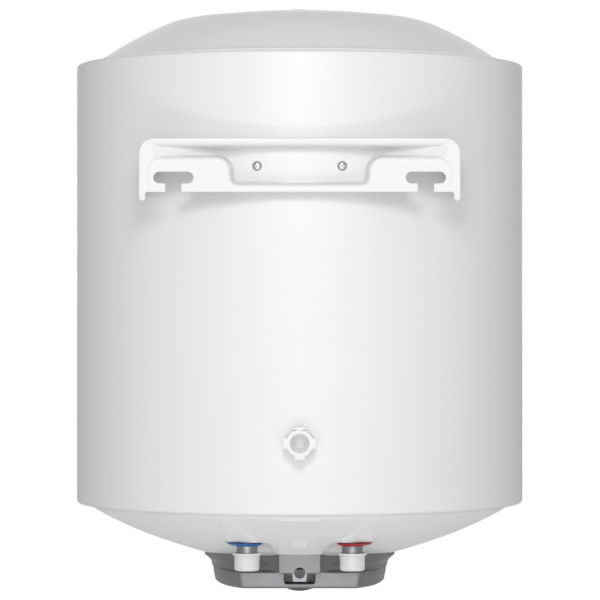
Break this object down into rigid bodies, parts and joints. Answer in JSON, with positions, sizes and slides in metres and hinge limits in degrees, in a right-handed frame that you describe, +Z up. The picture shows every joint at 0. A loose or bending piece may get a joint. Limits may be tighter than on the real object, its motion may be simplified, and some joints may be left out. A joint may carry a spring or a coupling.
{
  "type": "tank water heater",
  "caption": "Round wall-hung electric storage water heater with a slotted hanging bracket, stand-off spacer, bottom water connections with transport caps, and a grey control cover.",
  "frame": {"origin": "on the wall face, in the middle of the hanging bracket's lower strip, between its two T-slots", "axes": "+Z up along the heater, +Y towards the wall, +X towards the cold connection"},
  "size_m": [0.44, 0.46, 0.5755],
  "materials": {
    "white_enamel": "satin white powder coat",
    "white_plastic": "fine satin white ABS",
    "cap_plastic": "translucent white polyethylene",
    "grey_plastic": "satin silver-grey ABS",
    "pale_plastic": "pale grey polyamide",
    "dark_plastic": "satin dark grey",
    "black_plastic": "moulded black thermoset",
    "blue_plastic": "satin blue",
    "red_plastic": "satin red",
    "zinc_steel": "bright zinc plate",
    "tank_enamel": "dark blue vitreous enamel",
    "foam": "rigid polyurethane foam",
    "copper": "drawn copper",
    "magnesium": "cast magnesium",
    "gasket_rubber": "moulded rubber",
    "lens_red": "clear red",
    "wire_brown": "PVC insulation",
    "wire_blue": "PVC insulation",
    "wire_earth": "PVC insulation"
  },
  "bodies": {
    "heater": {"jacket": "white_enamel", "wall_bracket": "white_enamel", "top_cover": "white_plastic", "bottom_cover": "white_plastic", "foam_plug": "white_plastic", "wall_spacer": "white_plastic", "hot_dip_tube": "white_plastic", "cold_diffuser": "white_plastic", "terminal_block": "white_plastic", "pilot_lamp": "white_plastic", "control_cover": "grey_plastic", "cable_clamp": "pale_plastic", "thermostat_body": "black_plastic", "cold_ring": "blue_plastic", "hot_ring": "red_plastic", "bracket_screw_left": "zinc_steel", "bracket_screw_right": "zinc_steel", "hanger_plate": "zinc_steel", "hanger_boss_left": "zinc_steel", "hanger_boss_right": "zinc_steel", "cold_nipple": "zinc_steel", "hot_nipple": "zinc_steel", "flange_collar": "zinc_steel", "flange_plate": "zinc_steel", "anode_nut": "zinc_steel", "thermostat_probe": "zinc_steel", "earth_stud": "zinc_steel", "cover_screw_left": "zinc_steel", "cover_screw_right": "zinc_steel", "flange_bolt_1": "zinc_steel", "flange_bolt_2": "zinc_steel", "flange_bolt_3": "zinc_steel", "flange_bolt_4": "zinc_steel", "flange_bolt_5": "zinc_steel", "flange_bolt_6": "zinc_steel", "tank_shell": "tank_enamel", "tank_top_head": "tank_enamel", "tank_bottom_head": "tank_enamel", "foam_body": "foam", "foam_top": "foam", "foam_bottom": "foam", "heating_element": "copper", "thermowell": "copper", "anode_rod": "magnesium", "flange_gasket": "gasket_rubber", "pilot_lens": "lens_red", "wire_live": "wire_brown", "wire_neutral": "wire_blue", "wire_earth": "wire_earth"},
    "knob": {"temperature_knob": "dark_plastic", "thermostat_spindle": "zinc_steel"},
    "cold_cap_body": {"cold_cap": "cap_plastic"},
    "hot_cap_body": {"hot_cap": "cap_plastic"},
    "reset": {"reset_button": "red_plastic"}
  },
  "joints": [
    {"name": "knob_turn", "type": "hinge", "parent": "heater", "child": "knob", "pos_m": [0, -0.24, -0.385], "axis": [0, 0, 1], "range_deg": [0, 270]},
    {"name": "cold_cap_pull", "type": "slide", "parent": "heater", "child": "cold_cap_body", "axis": [0, 0, -1], "range_m": [0, 0.03]},
    {"name": "hot_cap_pull", "type": "slide", "parent": "heater", "child": "hot_cap_body", "axis": [0, 0, -1], "range_m": [0, 0.03]},
    {"name": "reset_press", "type": "slide", "parent": "heater", "child": "reset", "axis": [0, 0, 1], "range_m": [0, 0.002], "stiffness_N_per_m": 400}
  ]
}
